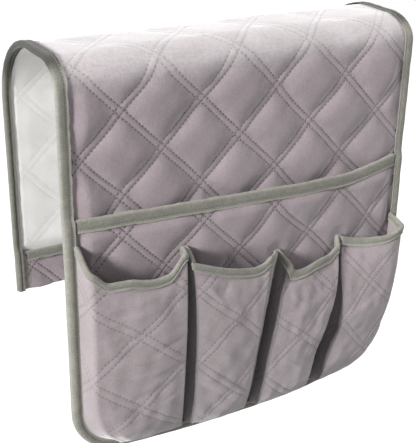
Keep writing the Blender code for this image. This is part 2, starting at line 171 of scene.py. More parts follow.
cornerU = hanging["halfWidth"] - hanging["cornerRadius"]
hemU = cornerU + hanging["cornerRadius"] * math.sin(hanging["hemSlope"])
hemRadius = hemU / math.sin(hanging["hemSlope"])
hemV = frontEnd - hemRadius
cornerV = hemV + (hemRadius - hanging["cornerRadius"]) * math.cos(hanging["hemSlope"])


# How far down the cloth reaches at u, when its outline is drawn in by inset
def hemAt(u, inset=0.0):
    across = np.minimum(np.abs(u), hanging["halfWidth"] - inset)
    hem = hemV + np.sqrt((hemRadius - inset) ** 2 - across ** 2)
    radius = hanging["cornerRadius"] - inset
    beyond = np.clip(across - cornerU, 0, radius)
    corner = cornerV + np.sqrt(radius ** 2 - beyond ** 2)
    return np.where(across < hemU, hem, corner)


# The rows of a front piece are drawn in to the hem, from the row at start on
def toHem(u, v, start, inset):
    below = np.clip((v - start) / (frontEnd - start), 0, 1)
    return v + below * (hemAt(u, inset) - frontEnd)


# The distance in from the outline
def insetOf(u, v):
    side = hanging["halfWidth"] - np.abs(u)
    hem = hemRadius - np.hypot(u, v - hemV)
    corner = hanging["cornerRadius"] - np.hypot(np.abs(u) - cornerU, v - cornerV)
    inCorner = (np.abs(u) > cornerU) & (v > cornerV)
    return np.where(inCorner, corner, np.minimum(side, hem))


# A soft random unevenness of about one unit, the same on each run
def ripple(x, y, size, seed, waves=10):
    random = np.random.default_rng(seed)
    total = np.zeros(np.broadcast(x, y).shape)
    for _ in range(waves):
        angle, phase = random.uniform(0, 2 * math.pi, 2)
        pitch = 2 * math.pi / (size * random.uniform(0.7, 1.6))
        total += np.sin(pitch * (x * math.cos(angle) + y * math.sin(angle)) + phase)
    return total / math.sqrt(waves / 2)


# The place in the quilting: the number of lines passed in each of the two directions
def quiltPlace(u, v, originU, originV):
    waver, size, waves = quilting["waver"], quilting["waverSize"], quilting["waverWaves"]
    u = u + waver * ripple(u, v, size, quilting["waverSeeds"][0], waves)
    v = v + waver * ripple(u, v, size, quilting["waverSeeds"][1], waves)
    a = ((u - originU) + (v - originV)) / quilting["diamond"]
    b = ((u - originU) - (v - originV)) / quilting["diamond"]
    return a, b


# The height that the quilting gives to the cloth: puffs, a ridge between the two rows, and puckers
def quiltHeight(a, b, puff, seed, detail=1.0):
    half = quilting["pair"] / 2
    rise, ridge, pucker = 1.0, 0.0, 0.0
    for across, along, number in ((a, b, 0), (b, a, 1)):
        off = np.abs(across - np.round(across)) * lineSpacing - half
        other = np.abs(along - np.round(along)) * lineSpacing - half
        side = 1 - np.clip(off / quilting["run"], 0, 1)
        rise = rise * (1 - side ** quilting["steep"])
        inside = np.clip(-off / half, 0, 1)
        ridge = ridge + np.sin(inside * math.pi / 2) * smooth(other, *quilting["ridgeEnds"])
        line = np.round(across) * quilting["puckerShift"]
        tuck = ripple(along * lineSpacing, line, quilting["puckerSize"], seed + number)
        pucker = pucker + tuck * np.exp(-np.abs(off) / quilting["puckerReach"]) * (off > 0)
    return puff * rise + detail * (quilting["ridge"] * ridge * (1 - rise) + quilting["pucker"] * pucker)


def sharpen(mesh, angle):
    bm = bmesh.new()
    bm.from_mesh(mesh)
    for edge in bm.edges:
        edge.smooth = not edge.is_manifold or edge.calc_face_angle(0) < angle
    for face in bm.faces:
        face.smooth = True
    bm.to_mesh(mesh)
    bm.free()


# A piece of cloth from a plain grid of (columns, rows). shape gives each point its place, and its place
# in the pattern.
def clothPiece(name, counts, shape, thickness, material, outward=True):
    bm = bmesh.new()
    bmesh.ops.create_grid(bm, x_segments=counts[0], y_segments=counts[1], size=0.5)
    mesh = bpy.data.meshes.new(name)
    bm.to_mesh(mesh)
    bm.free()
    flat = np.zeros(len(mesh.vertices) * 3, np.float32)
    mesh.vertices.foreach_get("co", flat)
    grid = flat.reshape(-1, 3).astype(float)
    place, pattern = shape(grid[:, 0] + 0.5, grid[:, 1] + 0.5)
    mesh.vertices.foreach_set("co", place.astype(np.float32).ravel())
    attribute = mesh.attributes.new("patternPlace", "FLOAT_VECTOR", "POINT")
    attribute.data.foreach_set("vector", pattern.astype(np.float32).ravel())
    if outward:
        mesh.flip_normals()
    piece = bpy.data.objects.new(name, mesh)
    bpy.context.collection.objects.link(piece)
    solid = piece.modifiers.new("thickness", "SOLIDIFY")
    solid.thickness = thickness
    solid.offset = -1
    graph = bpy.context.evaluated_depsgraph_get()
    made = bpy.data.meshes.new_from_object(piece.evaluated_get(graph))
    piece.modifiers.clear()
    piece.data = made
    bpy.data.meshes.remove(mesh)
    made.name = name
    sharpen(made, creaseAngle)
    made.materials.clear()
    made.materials.append(material)
    return piece


# Ties a piece to a flap, or, if it is folded over the top, bakes its place and leaves it loose; and hides
# the parts that it stands for
def dress(piece, side, folded, nodes):
    if folded:
        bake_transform(piece)
    else:
        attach(piece, bodies[side])
    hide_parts(*nodes)


# Materials

def addNode(tree, kind, inputs=None, **settings):
    node = tree.nodes.new("ShaderNode" + kind)
    for name, value in settings.items():
        setattr(node, name, value)
    for socket, value in (inputs or {}).items():
        if isinstance(value, bpy.types.NodeSocket):
            tree.links.new(value, node.inputs[socket])
        else:
            node.inputs[socket].default_value = value
    return node


def calc(tree, operation, *values):
    return addNode(tree, "Math", dict(enumerate(values)), operation=operation).outputs[0]


def product(tree, first, *others):
    for other in others:
        first = calc(tree, "MULTIPLY", first, other)
    return first


def plus(tree, first, *others):
    for other in others:
        first = calc(tree, "ADD", first, other)
    return first


def distance(tree, first, second):
    return calc(tree, "ABSOLUTE", calc(tree, "SUBTRACT", first, second))


def ranged(tree, value, low, high, atLow, atHigh, kind="LINEAR"):
    inputs = {0: value, 1: low, 2: high, 3: atLow, 4: atHigh}
    return addNode(tree, "MapRange", inputs, interpolation_type=kind).outputs[0]


# A noise turned into a shade that varies by amount about 1. span is how far the noise strays from 0.5.
def variation(tree, noise, span, amount):
    return ranged(tree, noise, 0.5 - span, 0.5 + span, 1 - amount, 1 + amount)


def mixColour(tree, share, first, second, blend="MIX"):
    node = addNode(tree, "Mix", {0: share, 6: first, 7: second}, data_type="RGBA", blend_type=blend)
    return node.outputs[2]


def grey(tree, value):
    return addNode(tree, "CombineColor", {0: value, 1: value, 2: value}).outputs[0]


def fromSrgb(*values):
    return [((v / 255 + 0.055) / 1.055) ** 2.4 if v > 10 else v / 255 / 12.92 for v in values] + [1]


finish = {"specular": 0.25, "sheenRoughness": 0.45, "bumpDistance": 0.001}


def startMaterial(name, look):
    material = bpy.data.materials.new(name)
    material.use_nodes = True
    tree = material.node_tree
    shader = tree.nodes["Principled BSDF"]
    shader.inputs["Roughness"].default_value = look["roughness"]
    shader.inputs["Specular IOR Level"].default_value = finish["specular"]
    shader.inputs["Sheen Weight"].default_value = look["sheen"]
    shader.inputs["Sheen Tint"].default_value = (1, 1, 1, 1)
    shader.inputs["Sheen Roughness"].default_value = finish["sheenRoughness"]
    place = addNode(tree, "Attribute", attribute_name="patternPlace")
    return material, tree, shader, place.outputs["Vector"]


def finishMaterial(tree, shader, colour, height):
    bump = addNode(tree, "Bump", {"Strength": 1.0, "Distance": finish["bumpDistance"], "Height": height})
    tree.links.new(colour, shader.inputs["Base Color"])
    tree.links.new(bump.outputs["Normal"], shader.inputs["Normal"])


# The stitching of the quilting, in millimetres from the pattern's lines
stitching = {"pitch": 3.5, "hole": 0.78, "holeLong": 1.0, "holeEdge": (0.20, 1.40), "groove": 1.9}


# Where the needle holes, the grooves of the rows and the ridges between them are. The third value of
# the place is how drawn in the stitching is.
def stitchMasks(tree, place):
    spacing, pitch = lineSpacing * millimetres, stitching["pitch"]
    halfPair = quilting["pair"] / 2 * millimetres
    parts = addNode(tree, "SeparateXYZ", {0: place}).outputs
    holes, groove, ridge = 0.0, 0.0, 0.0
    for across, along in ((parts[0], parts[1]), (parts[1], parts[0])):
        off = product(tree, distance(tree, across, calc(tree, "ROUND", across)), spacing)
        row = distance(tree, off, halfPair)
        step = calc(tree, "FRACT", product(tree, along, spacing / pitch))
        gap = product(tree, distance(tree, step, 0.5), pitch)
        rowShare = calc(tree, "DIVIDE", row, stitching["hole"])
        gapShare = calc(tree, "DIVIDE", gap, stitching["holeLong"])
        squares = plus(tree, product(tree, rowShare, rowShare), product(tree, gapShare, gapShare))
        hole = ranged(tree, calc(tree, "SQRT", squares), *stitching["holeEdge"], 1.0, 0.0)
        dip = ranged(tree, row, 0.0, stitching["groove"], 1.0, 0.0, "SMOOTHSTEP")
        band = ranged(tree, off, 0.0, halfPair, 1.0, 0.0, "SMOOTHSTEP")
        holes = calc(tree, "MAXIMUM", holes, hole)
        groove = calc(tree, "MAXIMUM", groove, dip)
        ridge = calc(tree, "MAXIMUM", ridge, band)
    drawnIn = calc(tree, "MINIMUM", parts[2], 1.0)
    return [product(tree, mask, drawnIn) for mask in (holes, groove, ridge)]


def weave(tree, place, scale, shift):
    moved = addNode(tree, "Mapping", {"Vector": place, "Location": (shift, shift, 0), "Scale": (scale,) * 3})
    return addNode(tree, "TexNoise", {"Vector": moved.outputs[0], "Scale": 1.0, "Detail": 3.0}).outputs[0]


# The cloths' unevenness. A noise has its scale and shift, and a spread is what variation takes.
weaving = {
    "fine": (90, 1.3),
    "fineSpread": (0.25, 0.07),
    "broad": (2.2, 4.1),
    "broadSpread": (0.20, 0.06),
    "threadScales": ((11, 46, 1), (46, 11, 1)),
    "threadShift": 3.0,
    "threadSpan": 0.15,
    # the paler colour of the cloth on top of the arm, a painted highlight
    "topLightColour": fromSrgb(196, 192, 192),
}


# Two sets of threads with slubs in them, level and upright in the cloth as it hangs
def threads(tree, place):
    sets = []
    for number, scale in enumerate(weaving["threadScales"]):
        turn, shift = (0, 0, math.pi / 4), (number * weaving["threadShift"], 0, 0)
        turned = addNode(tree, "Mapping", {"Vector": place, "Rotation": turn, "Location": shift}).outputs[0]
        long = addNode(tree, "Mapping", {"Vector": turned, "Scale": scale}).outputs[0]
        sets.append(addNode(tree, "TexNoise", {"Vector": long, "Scale": 1.0, "Detail": 2.0}).outputs[0])
    return product(tree, plus(tree, *sets), 1 / len(sets))


# The third value of the place is under 1 where the cloth is drawn tight over the top, which gets a paler
# colour as a painted highlight, and over 1 where it lies between two pockets, which gets a darker colour as
# painted shade
def quiltedMaterial(name, look):
    material, tree, shader, place = startMaterial(name, look)
    holes, groove, ridge = stitchMasks(tree, place)
    fine = weave(tree, place, *weaving["fine"])
    broad = weave(tree, place, *weaving["broad"])
    fibre = threads(tree, place)
    third = addNode(tree, "SeparateXYZ", {0: place}).outputs[2]
    shade = product(
        tree,
        variation(tree, broad, *weaving["broadSpread"]),
        variation(tree, fine, *weaving["fineSpread"]),
        variation(tree, fibre, weaving["threadSpan"], look["thread"]),
        ranged(tree, groove, 0.0, 1.0, 1.0, look["grooveShade"]),
        ranged(tree, ridge, 0.0, 1.0, 1.0, look["ridgeShade"]),
        # a darker colour where the cloth lies between two pockets: painted shade
        ranged(tree, third, 1.0, 2.0, 1.0, look["trenchShade"]),
    )
    # on top of the arm a paler colour is mixed in as a painted highlight
    topLight = ranged(tree, third, quilting["topDetail"], 1.0, look["topLight"], 0.0)
    colourWithTopLight = mixColour(tree, topLight, look["colour"], weaving["topLightColour"])
    cloth = mixColour(tree, 1.0, colourWithTopLight, grey(tree, shade), "MULTIPLY")
    # the needle holes get a dark colour as painted shade; their depth is in the bump
    whole = mixColour(tree, product(tree, holes, look["holeShadeShare"]), cloth, look["holeShadeColour"])
    height = plus(
        tree,
        product(tree, groove, -look["grooveDepth"]),
        product(tree, holes, -look["holeDepth"]),
        product(tree, ridge, look["ridgeHeight"]),
        product(tree, fine, look["weaveHeight"]),
        product(tree, fibre, look["napHeight"]),
    )
    finishMaterial(tree, shader, whole, height)
    return material


faceLook = {
    "colour": fromSrgb(159, 147, 151),
    "holeShadeColour": fromSrgb(52, 43, 47),
    "roughness": 0.86,
    "sheen": 0.75,
    "grooveShade": 0.95,
    "ridgeShade": 1.05,
    "holeShadeShare": 0.64,
    "grooveDepth": 0.16,
    "holeDepth": 0.35,
    "ridgeHeight": 0.14,
    "weaveHeight": 0.14,
    "napHeight": 0.30,
    "thread": 0.10,
    "topLight": 0.5,
    "trenchShade": 0.42,
}
pocketLook = dict(
    faceLook, colour=fromSrgb(160, 149, 152), holeShadeColour=fromSrgb(60, 50, 54), grooveShade=0.97,
    ridgeShade=1.03, holeShadeShare=0.36, grooveDepth=0.10, ridgeHeight=0.06, holeDepth=0.22,
)
liningLook = {
    "colour": fromSrgb(249, 248, 246),
    "holeShadeColour": fromSrgb(205, 203, 202),
    "roughness": 0.8,
    "sheen": 0.1,
    "grooveShade": 0.985,
    "ridgeShade": 1.0,
    "holeShadeShare": 0.15,
    "grooveDepth": 0.03,
    "holeDepth": 0.04,
    "ridgeHeight": 0.02,
    "weaveHeight": 0.06,
    "napHeight": 0.05,
    "thread": 0.012,
    "topLight": 0.0,
    "trenchShade": 1.0,
}
pocketCloth = quiltedMaterial("pocketMicrofibre", pocketLook)
faceCloth = quiltedMaterial("quiltedMicrofibre", faceLook)
liningCloth = quiltedMaterial("paleLining", liningLook)

taping = {
    "width": 0.0088,
    "rearWidth": 0.0062,
    "narrowing": (0.010, -0.004),  # from the rear fold, and from where the halves meet
    "stitchFromHem": 0.0022,
    "stitchHalf": 0.0009,
    "thickness": 0.0006,
    "turnOver": 0.003,
    "pillow": 0.0004,
    "groove": 0.0003,
    "waver": 0.0002,
    "waverOut": 0.00012,
    "waverSize": 0.012,
    "waverFrom": (0.004, 0.010),
    "pathStep": 0.002,
    "gridStep": 0.0022,
    "around": 22,
    "frontHeight": 0.0037,
    "overMagazine": 0.0028,
    "magazineRun": (-0.006, 0.004),
    "overPockets": 0.0010,
    "pocketsRun": (0.015, 0.035),
    "underTurnUp": -0.0030,
    "turnUpRun": (-0.002, 0.006),
    "archShade": 0.9,
    "archHeights": (-0.060, -0.022),
    "archDepths": (-0.044, -0.030),
    "rearShade": 0.35,
    "rearDepths": (0.030, 0.070),
}

# Distances on the tape are in millimetres
tapeLook = {
    "colour": fromSrgb(137, 136, 127),
    "tapeHighlightColour": fromSrgb(184, 180, 172),
    "tapeShadeColour": fromSrgb(42, 41, 35),
    "threadColour": fromSrgb(188, 190, 182),
    "roughness": 0.72,
    "sheen": 0.25,
    "stitchPitch": 2.4,
    "threadEdge": (0.2, 0.42),
    "threadEnd": (0.75, 1.0),
    "threadShare": 0.6,
    "threadHeight": 0.2,
    "grooveHalf": 1.1,
    "grooveShade": 0.86,
    "grooveDepth": 0.25,
    "ribs": {"Scale": 0.55, "Distortion": 1.5, "Detail": 1.0, "Detail Scale": 2.0},
    "ribHeight": 0.10,
    "grain": (0.75, 2.0),
    "grainSpread": (0.2, 0.16),
    "grainHeight": 0.30,
    "mottle": (0.16, 8.0),
    "mottleSpread": (0.2, 0.10),
    "broad": (0.035, 5.0),
    "broadSpread": (0.2, 0.07),
    "foldEdge": (0.2, 1.3),
    "foldHighlight": 0.6,
    "hemEdge": (0.7, 1.5),  # from the row of stitches
    "highlightShare": 0.5,
}


# The tape's place: millimetres along it, millimetres in from its folded edge, and its side
def tapeMaterial(name, look):
    material, tree, shader, place = startMaterial(name, look)
    along, inward = addNode(tree, "SeparateXYZ", {0: place}).outputs[:2]
    stitchAt = (taping["width"] - taping["stitchFromHem"]) * millimetres
    row = distance(tree, inward, stitchAt)
    step = calc(tree, "FRACT", calc(tree, "DIVIDE", along, look["stitchPitch"]))
    gap = product(tree, distance(tree, step, 0.5), look["stitchPitch"])
    threadAcross = ranged(tree, row, *look["threadEdge"], 1.0, 0.0)
    thread = product(tree, threadAcross, ranged(tree, gap, *look["threadEnd"], 1.0, 0.0))
    groove = ranged(tree, row, 0.0, look["grooveHalf"], 1.0, 0.0, "SMOOTHSTEP")
    bands = {"Vector": place, **look["ribs"]}
    ribs = addNode(tree, "TexWave", bands, wave_type="BANDS", bands_direction="DIAGONAL").outputs[1]
    grain = weave(tree, place, *look["grain"])
    shade = product(
        tree,
        variation(tree, weave(tree, place, *look["broad"]), *look["broadSpread"]),
        variation(tree, grain, *look["grainSpread"]),
        variation(tree, weave(tree, place, *look["mottle"]), *look["mottleSpread"]),
        ranged(tree, groove, 0.0, 1.0, 1.0, look["grooveShade"]),
    )
    # paler bands at the folded edge and beyond the row of stitches are painted highlights
    fold = ranged(tree, inward, *look["foldEdge"], look["foldHighlight"], 0.0)
    hem = ranged(tree, inward, *(stitchAt + edge for edge in look["hemEdge"]), 0.0, 1.0)
    pale = product(tree, calc(tree, "MAXIMUM", fold, hem), look["highlightShare"])
    # this attribute darkens the tape as painted shade on the arch and down the rear flap
    tapeShade = addNode(tree, "Attribute", attribute_name="tapeShade").outputs["Fac"]
    cloth = mixColour(tree, 1.0, look["colour"], grey(tree, shade), "MULTIPLY")
    cloth = mixColour(tree, pale, cloth, look["tapeHighlightColour"])
    cloth = mixColour(tree, tapeShade, cloth, look["tapeShadeColour"])
    whole = mixColour(tree, product(tree, thread, look["threadShare"]), cloth, look["threadColour"])
    height = plus(
        tree,
        product(tree, groove, -look["grooveDepth"]),
        product(tree, thread, look["threadHeight"]),
        product(tree, ribs, look["ribHeight"]),
        product(tree, grain, look["grainHeight"]),
    )
    finishMaterial(tree, shader, whole, height)
    return material


tapeCloth = tapeMaterial("sageTape", tapeLook)

battingLook = {
    "roughness": 0.95,
    "sheen": 0.3,
    "fluff": (16, 3.0),
    "fluffSpan": (0.3, 0.7),
    "tones": (0.86, 0.95),
    "height": 0.5,
}


def battingMaterial(name, look):
    material, tree, shader, place = startMaterial(name, look)
    fluff = weave(tree, place, *look["fluff"])
    tint = ranged(tree, fluff, *look["fluffSpan"], *look["tones"])
    finishMaterial(tree, shader, grey(tree, tint), product(tree, fluff, look["height"]))
    return material


battingFibre = battingMaterial("battingFibre", battingLook)
print("materials made")

# The quilted panel: face cloth, batting and lining, each in a front and a rear half that meet on top
layers = {
    "edge": 0.001,
    "faceTop": 0.0027,
    "fade": (0.0100, 0.0230),
    "hiddenBelow": 0.018,
    "visibleShare": 0.66,
    "seed": 11,
    "wave": 0.0005,
    "waveSize": 0.11,
    "waveSeed": 31,
    "foldPuff": 0.25,
    "foldRun": (-0.002, 0.006),
    "stripPuff": 0.65,
    "stripRun": (0.008, 0.016),
    "battingTop": 0.0018,
    "battingShare": 0.9,
    "endAbove": 0.004,
    "liningSeed": 31,
    "liningPuff": 0.00035,
    "liningDetail": 0.12,
    "tuckedIn": 0.0009,
    "tuckRun": 0.0040,
    "liningStripRun": 0.008,
}
cutHalf = hanging["halfWidth"] - layers["edge"]
faceLine = faceRoute(layers["faceTop"])


# How far the cloth hangs free, in front and behind; over the top of the arm it is drawn tight
def hangingShares(v):
    return smooth(v - frontFold, *hanging["frontSlack"]), 1 - smooth(v, *hanging["rearSlack"])


# The puffs stand lower on the top
def panelPuff(v):
    front, rear = hangingShares(v)
    top = quilting["topPuff"]
    return top + (quilting["frontPuff"] - top) * front + (quilting["rearPuff"] - top) * rear


def panelRise(u, v, share=1.0):
    a, b = quiltPlace(u, v, quilting["phaseU"], phaseV)
    fade = smooth(insetOf(u, v), *layers["fade"])
    detail = quilting["topDetail"] + (1 - quilting["topDetail"]) * sum(hangingShares(v))
    rise = quiltHeight(a, b, share * panelPuff(v), layers["seed"], detail) * fade
    rise = rise + layers["wave"] * ripple(u, v, layers["waveSize"], layers["waveSeed"]) * fade
    return rise, np.stack([a, b, detail], axis=-1)


def faceFront(s, t):
    u = (2 * s - 1) * cutHalf
    hidden = magazineEdge + layers["hiddenBelow"]
    rows = np.interp(t, [0, layers["visibleShare"], 1], [middle, hidden, frontEnd])
    v = toHem(u, rows, hidden, layers["edge"])
    rise, pattern = panelRise(u, v)
    return drape(faceLine, u, v, rise), pattern


# The puffs flatten where the cloth turns round the rear flap's edge, and at the strip's bound edge
def faceRear(s, t):
    u = (2 * s - 1) * cutHalf
    start = faceLine["v"][0]
    v = middle + (start - middle) * (1 - t)
    rise, pattern = panelRise(u, v)
    turned = smooth(v - rearEnd, *layers["foldRun"])
    strip = np.where(v < rearEnd, smooth(v - start, *layers["stripRun"]) * layers["stripPuff"], 1)
    onFold = layers["foldPuff"] + (1 - layers["foldPuff"]) * np.abs(2 * turned - 1)
    return drape(faceLine, u, v, rise * strip * onFold), pattern


def battingAt(u, v):
    rise, pattern = panelRise(u, v, layers["battingShare"])
    return drape(panel, u, v, layers["battingTop"] + rise * layers["battingShare"]), pattern


def battingFront(s, t):
    u = (2 * s - 1) * (hanging["halfWidth"] - taping["width"])
    return battingAt(u, toHem(u, middle + (frontEnd - middle) * t, magazineEdge, taping["width"]))


def battingRear(s, t):
    u = (2 * s - 1) * (hanging["halfWidth"] - taping["width"])
    return battingAt(u, middle + (rearEnd + hanging["turnUp"] + layers["endAbove"] - middle) * (1 - t))


# The tape grows narrower from the top of the arm down the rear flap
def tapeWidth(v):
    start, end = taping["narrowing"]
    return taping["rearWidth"] + (taping["width"] - taping["rearWidth"]) * smooth(v, start, middle + end)


def liningRise(u, v):
    a, b = quiltPlace(u, v, quilting["phaseU"], phaseV)
    inset = insetOf(u, v)
    rise = quiltHeight(a, b, layers["liningPuff"], layers["liningSeed"], layers["liningDetail"])
    rise = rise * smooth(inset, *layers["fade"])
    tucked = 1 - smooth(inset - tapeWidth(v), 0, layers["tuckRun"])
    return layers["tuckedIn"] * tucked - rise, np.stack([a, b, np.ones_like(u)], axis=-1)


def liningFront(s, t):
    u = (2 * s - 1) * cutHalf
    v = toHem(u, middle + (frontEnd - middle) * t, magazineEdge, layers["edge"])
    rise, pattern = liningRise(u, v)
    return drape(panel, u, v, rise), pattern


# The lining is tucked in under the turned-up strip
def liningRear(s, t):
    u = (2 * s - 1) * cutHalf
    v = middle + (rearEnd + layers["endAbove"] - middle) * (1 - t)
    rise, pattern = liningRise(u, v)
    free = smooth(v - rearEnd - hanging["turnUp"], 0, layers["liningStripRun"])
    return drape(panel, u, v, rise * free + layers["tuckedIn"] * (1 - free)), pattern


# Each layer's material, its thickness, and whether its outer side is its front
layerKinds = {
    "quilted_cloth": (faceCloth, 0.0006, True),
    "batting": (battingFibre, 0.0007, True),
    "lining_cloth": (liningCloth, 0.0006, False),
}
panelPieces = (
    ("faceClothFront", (240, 204), faceFront, "front", "quilted_cloth",
     ("front_face_cloth", "saddle_face_cloth")),
    ("faceClothRear", (240, 204), faceRear, "rear", "quilted_cloth",
     ("rear_face_cloth", "saddle_face_cloth", "rear_turn_up")),
    ("battingFront", (110, 130), battingFront, "front", "batting", ("front_batting", "saddle_batting")),
    ("battingRear", (110, 90), battingRear, "rear", "batting", ("rear_batting", "saddle_batting")),
    ("liningFront", (190, 200), liningFront, "front", "lining_cloth", ("front_lining", "saddle_lining")),
    ("liningRear", (190, 160), liningRear, "rear", "lining_cloth", ("rear_lining", "saddle_lining")),
)

for name, counts, shape, side, slotName, nodes in panelPieces:
    material, thickness, outward = layerKinds[slotName]
    piece = clothPiece(name, counts, shape, thickness, material, outward)
    dress(piece, side, True, nodes)
print("panel made")


# The bias tape, folded over an edge. across goes from its front edge, round the fold, to its back edge.
def tapeOutline(across, low, high, width):
    half = (high - low) / 2
    straight = width - half
    turn = math.pi * half
    travelled = across * (2 * straight + turn)
    front = np.clip(straight - travelled, 0, None)
    back = np.clip(travelled - straight - turn, 0, None)
    angle = np.clip((travelled - straight) / half, 0, math.pi)
    away = half * (1 - np.sin(angle)) + front + back
    side = np.cos(angle)
    stitchAt = width - taping["stitchFromHem"]
    stitch = np.exp(-((away - stitchAt) / taping["stitchHalf"]) ** 2)
    pillow = np.sin(np.clip(away / stitchAt, 0, 1) * math.pi)
    offset = (high + low) / 2 + half * side
    return away, offset + side * (taping["pillow"] * pillow - taping["groove"] * stitch)


def tapeWaver(along, seed):
    return ripple(along, 0 * along, taping["waverSize"], seed)


# The place in a tape's pattern, which is drawn for a tape of the edge tape's width
def tapePattern(along, away, across, width):
    return np.stack([along * millimetres, away * millimetres * taping["width"] / width, across], -1)


# The tape gets painted shade, a darker colour standing in for shadow, on the arch over the arm, and a little
# down the rear flap
def shadeTape(piece):
    flat = np.zeros(len(piece.data.vertices) * 3, np.float32)
    piece.data.vertices.foreach_get("co", flat)
    y, z = flat[1::3], flat[2::3]
    arch = smooth(z, *taping["archHeights"]) * smooth(y, *taping["archDepths"])
    tapeShade = np.maximum(taping["archShade"] * arch, taping["rearShade"] * smooth(y, *taping["rearDepths"]))
    attribute = piece.data.attributes.new("tapeShade", "FLOAT", "POINT")
    attribute.data.foreach_set("value", tapeShade.astype(np.float32))


def pathCount(start, end):
    return max(int(abs(end - start) / taping["pathStep"]), 2)


# The path of the front half's edge in the pattern, as (u, v) points a small step apart
def edgePath(start):
    radius = hanging["cornerRadius"]
    slope = hanging["hemSlope"]
    straight = np.linspace(start, cornerV, pathCount(start, cornerV))
    side = np.stack([np.full_like(straight, -hanging["halfWidth"]), straight], -1)
    angles = np.linspace(0, math.pi / 2 - slope, hanging["cornerSteps"])[1:]
    corner = np.stack([-cornerU - radius * np.cos(angles), cornerV + radius * np.sin(angles)], -1)
    left = np.concatenate([side, corner])
    turns = np.linspace(-slope, slope, hanging["hemSteps"])[1:-1]
    hem = np.stack([hemRadius * np.sin(turns), hemV + hemRadius * np.cos(turns)], -1)
    return np.concatenate([left, hem, left[::-1] * (-1, 1)])


def sidePath(side, start, end):
    v = np.linspace(start, end, pathCount(start, end))
    return np.stack([np.full_like(v, side * hanging["halfWidth"]), v], -1)


# A tape along a path in the pattern. levels gives the heights of its two faces.
def edgeTape(name, path, levels, seed, side, nodes):
    steps = np.concatenate([[0], np.cumsum(np.hypot(*np.diff(path, axis=0).T))])
    length = steps[-1]
    way = np.gradient(path, steps, axis=0)
    way /= np.hypot(way[:, 0], way[:, 1])[:, None]

    def shape(s, t):
        along = s * length
        u, v = (np.interp(along, steps, path[:, i]) for i in (0, 1))
        wayU, wayV = (np.interp(along, steps, way[:, i]) for i in (0, 1))
        low, high = levels(u, v)
        width = tapeWidth(v)
        away, offset = tapeOutline(t, low, high, width)
        away = away + taping["waver"] * tapeWaver(along, seed) * smooth(away, *taping["waverFrom"])
        outward = np.sign(offset - (low + high) / 2)
        offset = offset + taping["waverOut"] * tapeWaver(along, seed + 1) * outward
        place = drape(panel, u + wayV * away, v - wayU * away, offset)
        return place, tapePattern(along, away, t, width)

    counts = (int(length / taping["gridStep"]), taping["around"])
    piece = clothPiece(name, counts, shape, taping["thickness"], tapeCloth, False)
    shadeTape(piece)
    dress(piece, side, True, nodes)


def frontLevels(u, v):
    held = smooth(v, *(magazineEdge + end for end in taping["magazineRun"]))
    pocketed = smooth(v, *(magazineEdge + end for end in taping["pocketsRun"]))
    high = taping["frontHeight"] + taping["overMagazine"] * held + taping["overPockets"] * pocketed
    return np.zeros_like(u), high


def rearLevels(u, v):
    stripTop = rearEnd + hanging["turnUp"]
    turned = 1 - smooth(v, *(stripTop + end for end in taping["turnUpRun"]))
    return taping["underTurnUp"] * turned, np.full_like(u, taping["frontHeight"])


edgeTape("frontEdgeTape", edgePath(middle), frontLevels, 41, "front",
         ("front_binding", "saddle_left_binding", "saddle_right_binding"))
edgeTape("leftRearTape", sidePath(-1, rearEnd, middle), rearLevels, 46, "rear",
         ("rear_left_binding", "saddle_left_binding"))
edgeTape("rightRearTape", sidePath(1, middle, rearEnd), rearLevels, 48, "rear",
         ("rear_right_binding", "saddle_right_binding"))
print("edge tapes made")

# The tape on the top edge of the turned-up strip
turnUp = {"reach": 0.155, "faces": (-0.0009, 0.0016), "above": 0.0008, "seed": 53, "counts": (150, 20)}


def turnUpTape(s, t):
    along = 2 * s * turnUp["reach"]
    away, offset = tapeOutline(t, *turnUp["faces"], taping["width"])
    away = away + taping["waver"] * tapeWaver(along, turnUp["seed"])
    v = faceLine["v"][0] - turnUp["above"] + away
    return drape(faceLine, along - turnUp["reach"], v, offset), tapePattern(along, away, t, taping["width"])


piece = clothPiece("turnUpTape", turnUp["counts"], turnUpTape, taping["thickness"], tapeCloth)
dress(piece, "rear", False, ["rear_turn_up_binding"])

# The magazine pocket: a quilted panel over the lower part of the front flap, open along its top
magazine = {
    "level": 0.0054,
    "thickness": 0.0010,
    "counts": (250, 170),
    "seed": 61,
    "puff": 0.0034,
    "sewnPuff": 0.25,
    "sewnRun": (0.001, 0.014),
    "fade": (0.0100, 0.0220),
    "free": (0.007, 0.018),
    "wave": 0.0005,
    "waveSize": 0.09,
    "waveSeed": 62,
    "bow": 0.0090,
    "bowFoot": 0.011,
    "phaseU": 0.0222,
    "quiltDrop": 0.0165,
    "reach": 0.1545,
    "tapeWidth": 0.0108,
    "tapeFaces": (-0.0018, 0.0008),
    "tapeAbove": 0.0008,
    "tapeSeed": 67,
    "tapeCounts": (160, 20),
    "soften": 0.008,
    "softenSteps": 5,
    "sags": (
        (-0.1545, -0.0016), (-0.110, -0.0008), (-0.060, 0), (-0.020, 0.0012), (0.022, 0.0026),
        (0.060, 0.0042), (0.085, 0.0053), (0.102, 0.0056), (0.116, 0.0040), (0.128, 0.0018), (0.142, 0),
        (0.1545, -0.0016),
    ),
}
dividers = {"top": (-0.0657, 0.0255, 0.0934), "bottom": (-0.0625, 0.0057, 0.0755)}
rimDrops = (0.0195, 0.0380, 0.0620, 0.0634, 0.0565)


# The pocket's top edge hangs a little low at the right. Its table gives how low at each place across.
def magazineTop(u):
    places, sags = zip(*magazine["sags"])
    shifts = np.linspace(-magazine["soften"], magazine["soften"], magazine["softenSteps"])
    return magazineEdge + sum(np.interp(u + shift, places, sags) for shift in shifts) / len(shifts)


